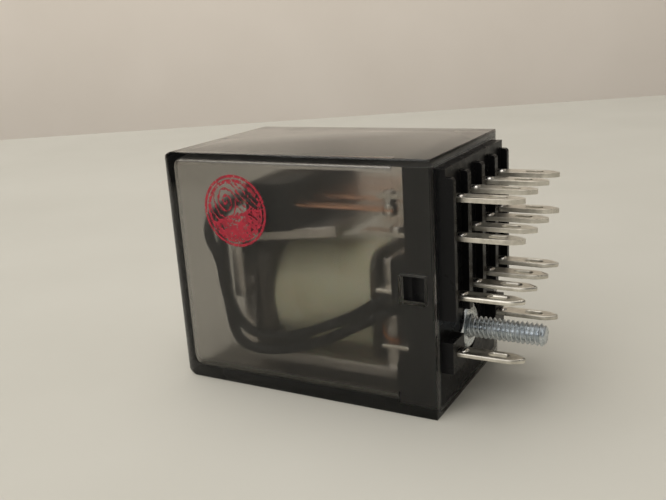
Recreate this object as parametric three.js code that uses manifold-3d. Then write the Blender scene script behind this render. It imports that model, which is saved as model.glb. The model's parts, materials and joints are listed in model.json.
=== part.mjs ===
// Miniature plug-in power relay: four changeover poles and one coil under a clear dust cover.
// Millimetres. The relay lies on a narrow long side of its cover: +Z is up, the blades and the
// mounting stud point along +X, and Y = 0 is the middle plane. Places along X are counted from
// the closed end of the cover. The last step moves the relay so that its box stands centred on
// the origin.

import * as THREE from 'three';
import { mergeVertices } from 'three/addons/utils/BufferGeometryUtils.js';
import Module from 'manifold-3d';

const wasm = await Module();
wasm.setup();

// ---- Driving dimensions ------------------------------------------------------------------

// Dust cover
const coverLength = 34.0;
const coverWidth = 20.4;
const coverHeight = 28.0;
const coverSideWall = 1.2;
const coverEdgeWall = 1.0;
const coverEndRadius = 1.5;
const coverSideRadius = 0.6;
const windowStart = 30.1;
const windowLength = 2.9;
const windowBottom = 12.75;
const windowHeight = 3.1;

// Blades: four columns across Y, four rows up Z
const columnPitch = 4.4;
const columnY = [-1.5, -0.5, 0.5, 1.5].map((step) => step * columnPitch);
const rowClosed = 23.54;
const rowOpen = 19.46;
const rowCommon = 13.13;
const rowCoil = 6.77;
const bladeTip = 42.37;
const bladeWidth = 1.96;
const bladeThickness = 0.5;
const bladePointLength = 1.2;
const bladePointWidth = 0.44;
const bladeEyeCentre = 39.6;
const bladeEyeLength = 2.0;
const bladeEyeWidth = 0.9;
const slotClearance = 0.02;

// Base moulding. Joined boxes run into each other by the length of the joint.
const baseInnerFace = 30.6;
const baseClearance = 0.05;
const seatFace = 35.1;
const seatHalfWidth = 9.0;
const seatBottom = 11.0;
const seatTop = 26.9;
const barrierFace = 35.9;
const barrierThickness = 1.0;
const barrierTop = 26.0;
const coilBlockFace = 35.35;
const coilBlockInner = 5.3;
const coilBlockOuter = 8.6;
const coilBlockBottom = 4.9;
const coilBlockTop = 8.4;
const bossStart = 28.9;
const bossInner = 6.5;
const bossBottom = 12.9;
const bossTop = 17.2;
const footStart = 29.2;
const footTop = 5.7;
const nutPocketRadius = 3.1;
const nutPocketDepth = 1.5;
const joint = 0.5;

// Stud and nut: number 3-48 thread
const studZ = 7.1;
const studRadius = 1.258;
const studStart = 26.35;
const studEnd = 42.8;
const studChamfer = 0.3;
const nutStart = 32.6;
const nutThickness = 1.6;
const nutAcrossFlats = 4.76;

// Magnet
const coilZ = 10.3;
const hingeX = 9.0;
const hingeZ = 3.3;
const poleFace = 9.5;
const poleThickness = 1.0;
const poleRadius = 4.6;
const coreRadius = 3.0;
const coreTailRadius = 1.8;
const coreTailEnd = 27.9;
const flangeHalfSize = 6.6;
const frontFlangeStart = 10.6;
const frontFlangeEnd = 12.4;
const rearFlangeStart = 25.2;
const rearFlangeEnd = 26.0;
const windingRadius = 6.15;
const tapeRadius = 6.5;
const yokeThickness = 1.3;
const yokeStart = 9.1;
const yokeEnd = 27.6;
const yokeBottom = 2.0;
const yokeTop = 16.0;
const yokeHalfWidth = 5.5;
const yokeLegHalfWidth = 5.2;

// Armature, contact carrier and springs
const plateStart = 7.4;
const plateThickness = 1.5;
const plateWideHalfWidth = 7.2;
const plateNarrowHalfWidth = 5.5;
const plateStep = 10.3;
const armEnd = 21.4;
const armThickness = 1.25;
const armHalfWidth = 6.8;
const armSlope = 0.11;
const armTopAtPlate = 18.35;
const carrierStart = 10.8;
const carrierEnd = 16.5;
const carrierTop = 24.4;
const carrierHalfWidth = 8.2;
const springZ = 21.96;
const springThickness = 0.2;
const springStart = 9.8;
const springEnd = 28.9;
const springHalfWidth = 0.8;

// Contacts
const closedContactX = 28.0;
const openContactX = 28.8;
const contactRadius = 0.8;
const contactHeight = 0.6;
const contactShankRadius = 0.4;
const contactHoleRadius = 0.44;

// Leads
const flexLeadRadius = 0.6;
const coilLeadRadius = 0.18;

// ---- Finishes ----------------------------------------------------------------------------

function finish(color, roughness, metalness) {
  return new THREE.MeshStandardMaterial({ color, roughness, metalness });
}

function smokyPlastic() {
  const plastic = finish(0x5c5850, 0.12, 0);
  plastic.transparent = true;
  plastic.opacity = 0.45;
  return plastic;
}

const blackPlastic = () => finish(0x0e0e0f, 0.25, 0);
const tinPlate = () => finish(0xc2bbab, 0.35, 0.9);
const zincPlate = () => finish(0xb4bcc2, 0.3, 1);
const copperAlloy = () => finish(0xb0724c, 0.35, 0.9);
const contactSilver = () => finish(0xcfcac0, 0.3, 1);
const platedSteel = () => finish(0xa8a49c, 0.4, 1);
const phenolic = () => finish(0x2c2520, 0.5, 0);
const copperWire = () => finish(0x8f4a26, 0.4, 0.8);
const creamTape = () => finish(0xd9d2a6, 0.6, 0);
const blackSleeve = () => finish(0x151516, 0.55, 0);

// ---- Geometry helpers --------------------------------------------------------------------

function toSolid(geometry) {
  const bare = geometry.clone();
  bare.deleteAttribute('normal');
  bare.deleteAttribute('uv');
  const merged = mergeVertices(bare);
  const corners = merged.index.array;
  const triangles = [];
  for (let i = 0; i < corners.length; i += 3) {
    const [a, b, c] = [corners[i], corners[i + 1], corners[i + 2]];
    if (a !== b && b !== c && c !== a) {
      triangles.push(a, b, c);
    }
  }
  const mesh = new wasm.Mesh({
    numProp: 3,
    vertProperties: Float32Array.from(merged.attributes.position.array),
    triVerts: Uint32Array.from(triangles),
  });
  return new wasm.Manifold(mesh);
}

function toGeometry(solid) {
  const mesh = solid.getMesh();
  const geometry = new THREE.BufferGeometry();
  geometry.setAttribute('position', new THREE.BufferAttribute(mesh.vertProperties, 3));
  geometry.setIndex(new THREE.BufferAttribute(mesh.triVerts, 1));
  return geometry;
}

// Joins every piece, then takes every cutter away.
function build(pieces, cutters = []) {
  let solid = toSolid(pieces[0]);
  for (const piece of pieces.slice(1)) {
    solid = solid.add(toSolid(piece));
  }
  for (const cutter of cutters) {
    solid = solid.subtract(toSolid(cutter));
  }
  return toGeometry(solid);
}

function common(first, ...others) {
  let solid = toSolid(first);
  for (const other of others) {
    solid = solid.intersect(toSolid(other));
  }
  return toGeometry(solid);
}

function box(x0, x1, y0, y1, z0, z1) {
  const geometry = new THREE.BoxGeometry(x1 - x0, y1 - y0, z1 - z0);
  return geometry.translate((x0 + x1) / 2, (y0 + y1) / 2, (z0 + z1) / 2);
}

function outline(points) {
  return new THREE.Shape(points.map(([a, b]) => new THREE.Vector2(a, b)));
}

// A rectangle whose corners are given one radius each: low-low, high-low, high-high, low-high.
function roundedRectangle(a0, a1, b0, b1, radii) {
  const [r0, r1, r2, r3] = radii;
  const shape = new THREE.Shape();
  const quarter = Math.PI / 2;
  shape.moveTo(a0 + r0, b0);
  shape.lineTo(a1 - r1, b0);
  if (r1 > 0) shape.absarc(a1 - r1, b0 + r1, r1, -quarter, 0, false);
  shape.lineTo(a1, b1 - r2);
  if (r2 > 0) shape.absarc(a1 - r2, b1 - r2, r2, 0, quarter, false);
  shape.lineTo(a0 + r3, b1);
  if (r3 > 0) shape.absarc(a0 + r3, b1 - r3, r3, quarter, 2 * quarter, false);
  shape.lineTo(a0, b0 + r0);
  if (r0 > 0) shape.absarc(a0 + r0, b0 + r0, r0, 2 * quarter, 3 * quarter, false);
  return shape;
}

const arcSteps = 4;

function extrude(shape, depth) {
  const settings = { depth, bevelEnabled: false, curveSegments: arcSteps };
  return new THREE.ExtrudeGeometry(shape, settings);
}

// The outline is drawn in X and Y.
function extrudeUp(shape, z0, z1) {
  return extrude(shape, z1 - z0).translate(0, 0, z0);
}

// The outline is drawn in X and Z.
function extrudeAcross(shape, y0, y1) {
  return extrude(shape, y1 - y0).rotateX(Math.PI / 2).translate(0, y1, 0);
}

// The outline is drawn in Y and Z.
function extrudeAlong(shape, x0, x1) {
  const turn = new THREE.Matrix4().makeBasis(
    new THREE.Vector3(0, 1, 0),
    new THREE.Vector3(0, 0, 1),
    new THREE.Vector3(1, 0, 0),
  );
  return extrude(shape, x1 - x0).applyMatrix4(turn).translate(x0, 0, 0);
}

// Profile points are [radius, place along the axis].
function turned(profile, segments) {
  const points = profile.map(([radius, place]) => new THREE.Vector2(radius, place));
  return new THREE.LatheGeometry(points, segments);
}

function turnedAlongX(profile, segments, z) {
  return turned(profile, segments).rotateZ(-Math.PI / 2).translate(0, 0, z);
}

function turnedAlongZ(profile, segments, x, y) {
  return turned(profile, segments).rotateX(Math.PI / 2).translate(x, y, 0);
}

function rodAlongX(radius, x0, x1, y, z, segments) {
  const rod = new THREE.CylinderGeometry(radius, radius, x1 - x0, segments);
  return rod.rotateZ(-Math.PI / 2).translate((x0 + x1) / 2, y, z);
}

function rodAlongZ(radius, z0, z1, x, y, segments) {
  const rod = new THREE.CylinderGeometry(radius, radius, z1 - z0, segments);
  return rod.rotateX(Math.PI / 2).translate(x, y, (z0 + z1) / 2);
}

function wire(points, radius, sides, steps) {
  const route = new THREE.CatmullRomCurve3(points.map((point) => new THREE.Vector3(...point)));
  const section = new THREE.Shape();
  for (let i = 0; i < sides; i += 1) {
    const angle = (2 * Math.PI * i) / sides;
    const corner = [radius * Math.cos(angle), radius * Math.sin(angle)];
    if (i === 0) section.moveTo(...corner);
    else section.lineTo(...corner);
  }
  section.closePath();
  return new THREE.ExtrudeGeometry(section, { steps, extrudePath: route });
}

const relay = new THREE.Group();
const armatureGroup = new THREE.Group();
relay.add(armatureGroup);

function add(group, name, geometry, material) {
  const mesh = new THREE.Mesh(geometry, material);
  mesh.name = name;
  group.add(mesh);
}

// ---- Dust cover --------------------------------------------------------------------------

function dustCover() {
  const half = coverWidth / 2;
  const end = coverEndRadius;
  const side = coverSideRadius;
  const body = common(
    extrudeAlong(
      roundedRectangle(-half, half, 0, coverHeight, [side, side, side, side]), 0, coverLength,
    ),
    extrudeAcross(
      roundedRectangle(0, coverLength, 0, coverHeight, [end, 0, 0, end]), -half, half,
    ),
    extrudeUp(
      roundedRectangle(0, coverLength, -half, half, [end, 0, 0, end]), 0, coverHeight,
    ),
  );
  const innerHalf = half - coverSideWall;
  const cavity = box(
    coverSideWall, coverLength + 1, -innerHalf, innerHalf,
    coverEdgeWall, coverHeight - coverEdgeWall,
  );
  const windows = box(
    windowStart, windowStart + windowLength, -coverWidth, coverWidth,
    windowBottom, windowBottom + windowHeight,
  );
  return build([body], [cavity, windows]);
}

// ---- Blades ------------------------------------------------------------------------------

// Every blade, with the place of its inner end and of the contact rivet that it carries, if any.
function bladeList() {
  const innerClosed = 26.9;
  const innerOpen = 24.8;
  const innerCommonSide = 26.3;
  const innerCommonMiddle = 28.3;
  const innerCoil = 26.8;
  const blades = [];
  columnY.forEach((y, column) => {
    const number = column + 1;
    const isSide = column === 0 || column === 3;
    const innerCommon = isSide ? innerCommonSide : innerCommonMiddle;
    const blade = (name, z, start, contactX) => blades.push({ name, y, z, start, contactX });
    blade(`blade_nc_${number}`, rowClosed, innerClosed, closedContactX);
    blade(`blade_no_${number}`, rowOpen, innerOpen, openContactX);
    blade(`blade_common_${number}`, rowCommon, innerCommon);
    if (isSide) {
      const coilNumber = column === 0 ? 1 : 2;
      blade(`blade_coil_${coilNumber}`, rowCoil, innerCoil);
    }
  });
  return blades;
}

function bladeShape({ y, start }) {
  const half = bladeWidth / 2;
  const point = bladePointWidth / 2;
  const shoulder = bladeTip - bladePointLength;
  const shape = outline([
    [start, y - half],
    [shoulder, y - half],
    [bladeTip, y - point],
    [bladeTip, y + point],
    [shoulder, y + half],
    [start, y + half],
  ]);
  const eyeRadius = bladeEyeWidth / 2;
  const eyeReach = bladeEyeLength / 2 - eyeRadius;
  const eye = new THREE.Path();
  const quarter = Math.PI / 2;
  eye.absarc(bladeEyeCentre + eyeReach, y, eyeRadius, -quarter, quarter, false);
  eye.absarc(bladeEyeCentre - eyeReach, y, eyeRadius, quarter, 3 * quarter, false);
  eye.closePath();
  shape.holes.push(eye);
  return shape;
}

function blade(spec) {
  const z0 = spec.z - bladeThickness / 2;
  const z1 = spec.z + bladeThickness / 2;
  const strip = extrudeUp(bladeShape(spec), z0, z1);
  if (spec.contactX === undefined) {
    return strip;
  }
  const hole = rodAlongZ(contactHoleRadius, z0 - 1, z1 + 1, spec.contactX, spec.y, 16);
  return build([strip], [hole]);
}

// The slot that a blade passes through in the base.
function bladeSlot({ y, z }) {
  const halfWidth = bladeWidth / 2 + slotClearance;
  const halfThickness = bladeThickness / 2 + slotClearance;
  return box(
    bossStart - 1, barrierFace, y - halfWidth, y + halfWidth, z - halfThickness, z + halfThickness,
  );
}

// ---- Base --------------------------------------------------------------------------------

// Five upright walls that part the blade columns. The outer two end flush with the seat's sides.
function barriers() {
  const rounding = 0.4;
  const walls = [];
  for (let step = -2; step <= 2; step += 1) {
    const y = step * columnPitch;
    const low = Math.max(y - barrierThickness / 2, -seatHalfWidth);
    const high = Math.min(y + barrierThickness / 2, seatHalfWidth);
    const corners = [0, 0, rounding, 0];
    const side = roundedRectangle(coverLength - joint, barrierFace, seatBottom, barrierTop, corners);
    walls.push(extrudeAcross(side, low, high));
  }
  return walls;
}

// Wedge that snaps into a window of the cover. Its ramp rises towards the blades.
function latchTab(side) {
  const gap = 0.2;
  const rampStart = windowStart + 1.0;
  const rampEnd = windowStart + windowLength - gap;
  const low = coverWidth / 2 - coverSideWall - 1;
  const high = coverWidth / 2 - 0.5;
  const profile = outline([
    [rampStart, side * low],
    [rampEnd, side * low],
    [rampEnd, side * high],
    [rampStart, side * (low + 1)],
  ]);
  return extrudeUp(profile, windowBottom + gap, windowBottom + windowHeight - gap);
}

function sidePieces(side) {
  const order = (a, b) => (side > 0 ? [a, b] : [-b, -a]);
  const outerFace = coverWidth / 2 - coverSideWall - baseClearance;
  const bossY = order(bossInner, outerFace);
  const blockY = order(coilBlockInner, coilBlockOuter);
  return [
    box(bossStart, baseInnerFace + joint, ...bossY, bossBottom, bossTop),
    box(coverLength - joint, coilBlockFace, ...blockY, coilBlockBottom, coilBlockTop),
    latchTab(side),
  ];
}

function base(blades) {
  const halfWidth = coverWidth / 2 - coverSideWall - baseClearance;
  const bottom = coverEdgeWall + baseClearance;
  const top = coverHeight - coverEdgeWall - baseClearance;
  const pieces = [
    box(baseInnerFace, coverLength, -halfWidth, halfWidth, bottom, top),
    box(coverLength - joint, seatFace, -seatHalfWidth, seatHalfWidth, seatBottom, seatTop),
    box(footStart, baseInnerFace + joint, -halfWidth, halfWidth, bottom, footTop),
    ...barriers(),
    ...sidePieces(-1),
    ...sidePieces(1),
  ];
  const studHole = rodAlongX(studRadius + 0.1, footStart - 1, coverLength + 1, 0, studZ, 24);
  const pocketFloor = coverLength - nutPocketDepth;
  const nutPocket = rodAlongX(nutPocketRadius, pocketFloor, coverLength + 1, 0, studZ, 36);
  return build(pieces, [studHole, nutPocket, ...blades.map(bladeSlot)]);
}

// ---- Stud and nut ------------------------------------------------------------------------

function mountingStud() {
  const tipRadius = studRadius - studChamfer;
  const profile = [
    [0, studStart],
    [studRadius, studStart],
    [studRadius, studEnd - studChamfer],
    [tipRadius, studEnd],
    [0, studEnd],
  ];
  return turnedAlongX(profile, 24, studZ);
}

function hexNut() {
  const cornerRadius = nutAcrossFlats / Math.sqrt(3);
  const end = nutStart + nutThickness;
  const corners = [];
  for (let i = 0; i < 6; i += 1) {
    const angle = Math.PI / 2 + (i * Math.PI) / 3;
    corners.push([cornerRadius * Math.cos(angle), studZ + cornerRadius * Math.sin(angle)]);
  }
  const blank = extrudeAlong(outline(corners), nutStart, end);
  const bore = rodAlongX(studRadius + 0.04, nutStart - 1, end + 1, 0, studZ, 24);
  return build([blank], [bore]);
}

// ---- Magnet ------------------------------------------------------------------------------

function yoke() {
  const innerTop = yokeBottom + yokeThickness;
  const innerEnd = yokeEnd - yokeThickness;
  const pieces = [
    box(yokeStart, yokeEnd, -yokeHalfWidth, yokeHalfWidth, yokeBottom, innerTop),
    box(innerEnd, yokeEnd, -yokeLegHalfWidth, yokeLegHalfWidth, yokeBottom + 0.5, yokeTop),
  ];
  const holes = [
    rodAlongX(coreTailRadius + 0.05, innerEnd - 1, yokeEnd + 1, 0, coilZ, 24),
    rodAlongX(studRadius + 0.05, innerEnd - 1, yokeEnd + 1, 0, studZ, 24),
  ];
  return build(pieces, holes);
}

function core() {
  const shoulder = yokeEnd - yokeThickness - 0.05;
  const profile = [
    [0, poleFace],
    [poleRadius - 0.2, poleFace],
    [poleRadius, poleFace + 0.2],
    [poleRadius, poleFace + poleThickness],
    [coreRadius, poleFace + poleThickness],
    [coreRadius, shoulder],
    [coreTailRadius, shoulder],
    [coreTailRadius, coreTailEnd],
    [0, coreTailEnd],
  ];
  return turnedAlongX(profile, 28, coilZ);
}

function bobbin() {
  const tubeRadius = coreRadius + 0.6;
  const size = flangeHalfSize;
  const corner = 2.2;
  const flange = (x0, x1) => extrudeAlong(
    roundedRectangle(-size, size, coilZ - size, coilZ + size, [corner, corner, corner, corner]),
    x0, x1,
  );
  const pieces = [
    rodAlongX(tubeRadius, frontFlangeStart, rearFlangeEnd, 0, coilZ, 28),
    flange(frontFlangeStart, frontFlangeEnd),
    flange(rearFlangeStart, rearFlangeEnd),
  ];
  const bore = rodAlongX(coreRadius + 0.05, frontFlangeStart - 1, rearFlangeEnd + 1, 0, coilZ, 28);
  return build(pieces, [bore]);
}

function ring(innerRadius, outerRadius, x0, x1) {
  const profile = [
    [innerRadius, x0],
    [outerRadius, x0],
    [outerRadius, x1],
    [innerRadius, x1],
    [innerRadius, x0],
  ];
  return turnedAlongX(profile, 32, coilZ);
}

function winding() {
  return ring(coreRadius + 0.65, windingRadius, frontFlangeEnd + 0.05, rearFlangeStart - 0.05);
}

function coilTape() {
  return ring(windingRadius + 0.05, tapeRadius, frontFlangeEnd + 0.1, rearFlangeStart - 0.1);
}

// Bent leaf under the yoke that wraps round the heel of the armature and pushes it open.
function hingeSpring() {
  const leaf = 0.2;
  const heel = plateStart - 0.05;
  const halfWidth = 2.5;
  const leafEnd = 16;
  return build([
    box(heel - leaf, leafEnd, -halfWidth, halfWidth, yokeBottom - leaf, yokeBottom),
    box(heel - leaf, heel, -halfWidth, halfWidth, yokeBottom - leaf, yokeBottom + 0.9),
  ]);
}

// ---- Armature ----------------------------------------------------------------------------

const plateEnd = plateStart + plateThickness;
const armTop = (x) => armTopAtPlate + armSlope * (x - plateEnd);
const armBottom = (x) => armTop(x) - armThickness;

// One bent plate: it stands in front of the pole, and its arm reaches over the coil.
function armature() {
  const bend = 1.0;
  const profile = outline([
    [plateStart, yokeBottom],
    [plateEnd, yokeBottom],
    [plateEnd, armBottom(plateEnd)],
    [armEnd, armBottom(armEnd)],
    [armEnd, armTop(armEnd)],
    [plateStart + bend, armTop(plateStart + bend)],
    [plateStart + bend * 0.3, armTop(plateStart) - bend * 0.3],
    [plateStart, armTop(plateStart) - bend],
  ]);
  const blank = extrudeAcross(profile, -plateWideHalfWidth, plateWideHalfWidth);
  const far = plateWideHalfWidth + 1;
  const trims = [-1, 1].flatMap((side) => {
    const low = (a) => Math.min(side * a, side * far);
    const high = (a) => Math.max(side * a, side * far);
    const narrow = plateNarrowHalfWidth;
    return [
      box(0, plateEnd + 1, low(narrow), high(narrow), 0, plateStep),
      box(plateEnd + 1, armEnd + 1, low(armHalfWidth), high(armHalfWidth), 10, 25),
    ];
  });
  return build([blank], trims);
}

function contactCarrier() {
  const profile = outline([
    [carrierStart, armTop(carrierStart)],
    [carrierEnd, armTop(carrierEnd)],
    [carrierEnd, carrierTop - 0.4],
    [carrierEnd - 0.4, carrierTop],
    [carrierStart + 0.4, carrierTop],
    [carrierStart, carrierTop - 0.4],
  ]);
  const body = extrudeAcross(profile, -carrierHalfWidth, carrierHalfWidth);
  const halfThickness = springThickness / 2 + slotClearance;
  const halfWidth = springHalfWidth + slotClearance;
  const slots = columnY.map((y) => box(
    carrierStart - 1, carrierEnd + 1, y - halfWidth, y + halfWidth,
    springZ - halfThickness, springZ + halfThickness,
  ));
  return build([body], slots);
}

function contactSpring(y) {
  const tip = 0.5;
  const shape = roundedRectangle(
    springStart, springEnd, y - springHalfWidth, y + springHalfWidth, [0, tip, tip, 0],
  );
  const bottom = springZ - springThickness / 2;
  const strip = extrudeUp(shape, bottom, bottom + springThickness);
  const hole = rodAlongZ(contactHoleRadius, bottom - 1, bottom + 1, closedContactX, y, 16);
  return build([strip], [hole]);
}

// ---- Contacts ----------------------------------------------------------------------------

// Rivet with a crowned contact head below the strip and a plain head above it.
function contactRivet(x, y, stripBottom, stripTop, upperHeight, upperRadius) {
  const crown = 0.15;
  const head = stripBottom - contactHeight;
  const profile = [
    [0, head],
    [contactRadius - 0.25, head],
    [contactRadius, head + crown],
    [contactRadius, stripBottom],
    [contactShankRadius, stripBottom],
    [contactShankRadius, stripTop],
    [upperRadius, stripTop],
    [upperRadius, stripTop + upperHeight],
    [0, stripTop + upperHeight],
  ];
  return turnedAlongZ(profile, 16, x, y);
}

function closedContact(y) {
  const half = bladeThickness / 2;
  return contactRivet(closedContactX, y, rowClosed - half, rowClosed + half, 0.2, 0.65);
}

// The open contact faces up, so the same rivet is turned over.
function openContact(y) {
  const half = bladeThickness / 2;
  const rivet = contactRivet(0, 0, -half, half, 0.2, 0.65);
  return rivet.rotateX(Math.PI).translate(openContactX, y, rowOpen);
}

function movingContact(y) {
  const half = springThickness / 2;
  return contactRivet(closedContactX, y, springZ - half, springZ + half, contactHeight, contactRadius);
}

// ---- Leads -------------------------------------------------------------------------------

// Lead of an outer pole: down beside the armature plate, along the coil, up to the common blade.
const outerPoleRoute = [
  [9.3, 6.6, 21.96],
  [8.0, 6.8, 21.6],
  [6.7, 7.0, 20.4],
  [6.1, 7.0, 18.6],
  [6.15, 6.95, 15.8],
  [6.2, 6.95, 12.5],
  [6.5, 6.95, 9.6],
  [7.5, 6.9, 7.4],
  [9.0, 7.1, 6.3],
  [11.0, 7.35, 5.95],
  [13.3, 7.4, 6.05],
  [16.4, 7.4, 6.8],
  [20.0, 7.4, 8.2],
  [23.6, 7.4, 9.9],
  [25.8, 7.2, 11.3],
  [26.9, 6.8, 12.0],
  [27.7, 6.6, 12.2],
];

// Lead of an inner pole: the same way, further out, then behind the yoke to its common blade.
const innerPoleRoute = [
  [9.3, 2.2, 21.96],
  [7.4, 2.8, 21.8],
  [5.6, 4.6, 21.0],
  [4.7, 6.5, 19.9],
  [4.9, 7.8, 18.5],
  [5.3, 8.15, 17.2],
  [6.05, 8.2, 15.8],
  [6.5, 8.2, 14.4],
  [6.75, 8.2, 12.0],
  [7.15, 8.2, 9.5],
  [7.45, 8.2, 7.2],
  [8.1, 8.15, 5.5],
  [9.4, 8.1, 4.65],
  [11.2, 8.1, 4.4],
  [13.3, 8.1, 4.6],
  [16.4, 8.1, 5.3],
  [20.0, 8.1, 6.7],
  [23.6, 8.1, 8.6],
  [26.2, 7.8, 10.0],
  [28.2, 6.6, 10.9],
  [29.1, 4.8, 11.7],
  [29.2, 3.4, 12.1],
  [29.2, 2.2, 12.2],
];

const flexSteps = 44;

function flexLead(route, side) {
  const points = route.map(([x, y, z]) => [x, side * y, z]);
  return wire(points, flexLeadRadius, 8, flexSteps);
}

function coilLead(side) {
  const points = [
    [26.3, side * 5.4, 9.6],
    [26.4, side * 6.0, 8.8],
    [26.8, side * 6.5, 7.7],
    [27.5, side * 6.6, 7.25],
    [28.6, side * 6.6, 7.23],
  ];
  return wire(points, coilLeadRadius, 6, 14);
}

// ---- Assembly ----------------------------------------------------------------------------

const blades = bladeList();

add(relay, 'dust_cover', dustCover(), smokyPlastic());
add(relay, 'base', base(blades), blackPlastic());
for (const spec of blades) {
  add(relay, spec.name, blade(spec), tinPlate());
}
add(relay, 'mounting_stud', mountingStud(), zincPlate());
add(relay, 'hex_nut', hexNut(), zincPlate());
add(relay, 'yoke', yoke(), platedSteel());
add(relay, 'core', core(), platedSteel());
add(relay, 'bobbin', bobbin(), phenolic());
add(relay, 'coil_winding', winding(), copperWire());
add(relay, 'coil_tape', coilTape(), creamTape());
add(relay, 'hinge_spring', hingeSpring(), copperAlloy());
add(relay, 'flex_lead_1', flexLead(outerPoleRoute, -1), blackSleeve());
add(relay, 'flex_lead_2', flexLead(innerPoleRoute, -1), blackSleeve());
add(relay, 'flex_lead_3', flexLead(innerPoleRoute, 1), blackSleeve());
add(relay, 'flex_lead_4', flexLead(outerPoleRoute, 1), blackSleeve());
add(relay, 'coil_lead_1', coilLead(-1), copperWire());
add(relay, 'coil_lead_2', coilLead(1), copperWire());

add(armatureGroup, 'armature', armature(), platedSteel());
add(armatureGroup, 'contact_carrier', contactCarrier(), blackPlastic());
columnY.forEach((y, column) => {
  const number = column + 1;
  add(relay, `contact_nc_${number}`, closedContact(y), contactSilver());
  add(relay, `contact_no_${number}`, openContact(y), contactSilver());
  add(armatureGroup, `contact_spring_${number}`, contactSpring(y), copperAlloy());
  add(armatureGroup, `moving_contact_${number}`, movingContact(y), contactSilver());
});

relay.position.x = -studEnd / 2;

export default relay;
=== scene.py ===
import bmesh
import bpy
import json
import math
from mathutils import Matrix, Vector, noise


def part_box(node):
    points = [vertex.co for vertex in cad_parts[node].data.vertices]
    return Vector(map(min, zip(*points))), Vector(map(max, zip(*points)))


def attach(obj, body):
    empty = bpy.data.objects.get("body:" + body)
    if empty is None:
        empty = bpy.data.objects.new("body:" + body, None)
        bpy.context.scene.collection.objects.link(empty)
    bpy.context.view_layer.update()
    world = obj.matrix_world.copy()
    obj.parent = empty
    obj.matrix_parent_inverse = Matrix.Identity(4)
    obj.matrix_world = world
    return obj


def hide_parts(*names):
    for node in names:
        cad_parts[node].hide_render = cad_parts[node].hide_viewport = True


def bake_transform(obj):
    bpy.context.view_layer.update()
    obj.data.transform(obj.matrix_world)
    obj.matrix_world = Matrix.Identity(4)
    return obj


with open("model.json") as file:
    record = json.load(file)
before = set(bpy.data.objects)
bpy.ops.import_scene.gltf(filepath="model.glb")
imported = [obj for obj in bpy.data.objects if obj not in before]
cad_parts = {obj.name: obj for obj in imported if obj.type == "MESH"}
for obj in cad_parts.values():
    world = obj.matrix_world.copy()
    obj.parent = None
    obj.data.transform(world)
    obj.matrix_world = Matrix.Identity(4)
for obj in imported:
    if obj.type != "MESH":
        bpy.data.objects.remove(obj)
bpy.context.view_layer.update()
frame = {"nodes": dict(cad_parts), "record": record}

# A miniature plug-in relay under a clear smoky cover. Metres, in the CAD frame: the relay lies on
# a narrow long side, +X runs out along the blades, +Y across the cover, +Z up.

MM = 0.001
cover_low, cover_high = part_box("dust_cover")
left_end = cover_low.x
half_width = cover_high.y


def along(x_mm):
    """A place along X, counted in millimetres from the closed end of the cover."""
    return left_end + x_mm * MM


def point(x_mm, y_mm, z_mm):
    """A point by its millimetres from the closed end, the middle plane and the table."""
    return Vector((along(x_mm), y_mm * MM, z_mm * MM))


# ---- Camera ------------------------------------------------------------------------------

CAMERA_PLACE = Vector((42.96, -83.23, 42.08)) * MM
CAMERA_AZIMUTH = math.radians(29.73)
CAMERA_ELEVATION = math.radians(15.99)
CAMERA_ROLL = math.radians(3.72)
CAMERA_LENS = 44.46
CAMERA_SENSOR = 36.0


def make_camera():
    data = bpy.data.cameras.new("camera")
    data.lens = CAMERA_LENS
    data.sensor_width = CAMERA_SENSOR
    data.clip_start = 0.005
    data.clip_end = 10
    camera = bpy.data.objects.new("camera", data)
    bpy.context.collection.objects.link(camera)
    flat = math.cos(CAMERA_ELEVATION)
    back = Vector((
        math.sin(CAMERA_AZIMUTH) * flat,
        -math.cos(CAMERA_AZIMUTH) * flat,
        math.sin(CAMERA_ELEVATION),
    ))
    level = (-back).cross(Vector((0, 0, 1))).normalized()
    down = (-back).cross(level)
    right = math.cos(CAMERA_ROLL) * level + math.sin(CAMERA_ROLL) * down
    up = back.cross(right)
    camera.matrix_world = Matrix((
        (right.x, up.x, back.x, CAMERA_PLACE.x),
        (right.y, up.y, back.y, CAMERA_PLACE.y),
        (right.z, up.z, back.z, CAMERA_PLACE.z),
        (0, 0, 0, 1),
    ))
    bpy.context.scene.camera = camera


# ---- Node helpers ------------------------------------------------------------------------

# Places of the colour sockets on a Mix node, among those for numbers and vectors.
MIX_COLOR_A = 6
MIX_COLOR_B = 7
MIX_COLOR_RESULT = 2


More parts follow.
